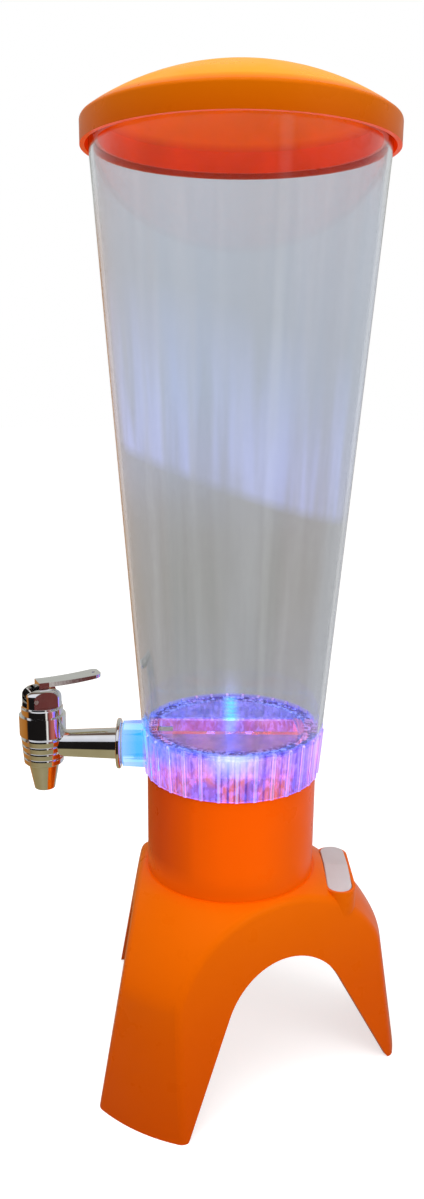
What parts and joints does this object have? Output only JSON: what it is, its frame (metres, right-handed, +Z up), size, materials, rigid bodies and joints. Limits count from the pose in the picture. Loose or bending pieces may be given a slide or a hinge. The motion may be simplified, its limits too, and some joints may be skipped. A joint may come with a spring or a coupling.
{
  "type": "beer tower dispenser",
  "caption": "Table-top drink tower: tripod base with a lamp and rocker switch, clear tapered container with a lever tap, and a domed lid.",
  "frame": {"origin": "on the tower's axis, on the plane of the table that the three feet stand on", "axes": "+Z up along the tower's axis; one leg, with the rocker switch on its shoulder, points along +X, and the tap points along -X over the arch between the two other legs"},
  "size_m": [0.2209, 0.1938, 0.532],
  "materials": {
    "orange_plastic": "glossy orange moulding, slightly grained",
    "white_plastic": "satin white",
    "clear_plastic": "clear, polished",
    "chrome": "bright plating",
    "silicone": "soft, matt",
    "steel": "bare stainless steel",
    "lens_plastic": "clear, slightly frosted",
    "lamp_plastic": "clear epoxy",
    "board": "green solder mask",
    "black_plastic": "matt black",
    "grey_plastic": "matt orange underside",
    "cell_case": "plain printed sleeve"
  },
  "bodies": {
    "base": {"base_shell": "orange_plastic", "led_lens": "lens_plastic", "led_board": "board", "leds": "lamp_plastic", "board_screws": "steel", "base_cover": "grey_plastic", "cover_screws": "steel", "battery_door": "grey_plastic", "door_screw": "steel", "batteries": "cell_case", "battery_springs": "steel", "battery_plates": "steel", "switch_body": "black_plastic"},
    "rocker": {"switch_rocker": "white_plastic"},
    "container": {"container_tube": "clear_plastic", "container_floor": "clear_plastic", "tap_body": "chrome", "tap_flange": "chrome", "tap_bonnet": "chrome", "lever_pin": "steel", "tap_washer_outer": "silicone", "tap_washer_inner": "silicone", "tap_nut": "chrome", "tap_spring": "steel"},
    "plunger": {"tap_plunger": "steel", "plunger_pin": "steel", "tap_seal": "silicone"},
    "lever": {"tap_lever": "chrome"},
    "lid": {"lid": "orange_plastic"}
  },
  "joints": [
    {"name": "container_lift", "type": "slide", "parent": "base", "child": "container", "axis": [0, 0, 1], "range_m": [0, 0.03]},
    {"name": "lid_lift", "type": "slide", "parent": "container", "child": "lid", "axis": [0, 0, 1], "range_m": [0, 0.03]},
    {"name": "lever_tilt", "type": "hinge", "parent": "container", "child": "lever", "pos_m": [-0.11228, -0.00232, 0.2135], "axis": [0.4226, -0.9063, 0], "range_deg": [0, 30], "stiffness_Nm_per_rad": 0.02, "springref_deg": -28.65},
    {"name": "plunger_lift", "type": "slide", "parent": "container", "child": "plunger", "axis": [0, 0, 1], "range_m": [0, 0.00318], "deforming": ["tap_spring"]},
    {"name": "switch_rock", "type": "hinge", "parent": "base", "child": "rocker", "pos_m": [0.0625, 0, 0.1046], "axis": [1, 0, 0], "range_deg": [-6, 0]}
  ],
  "couplings": [
    {"joint": "plunger_lift", "follows": "lever_tilt", "m_per_rad": 0.006065}
  ]
}
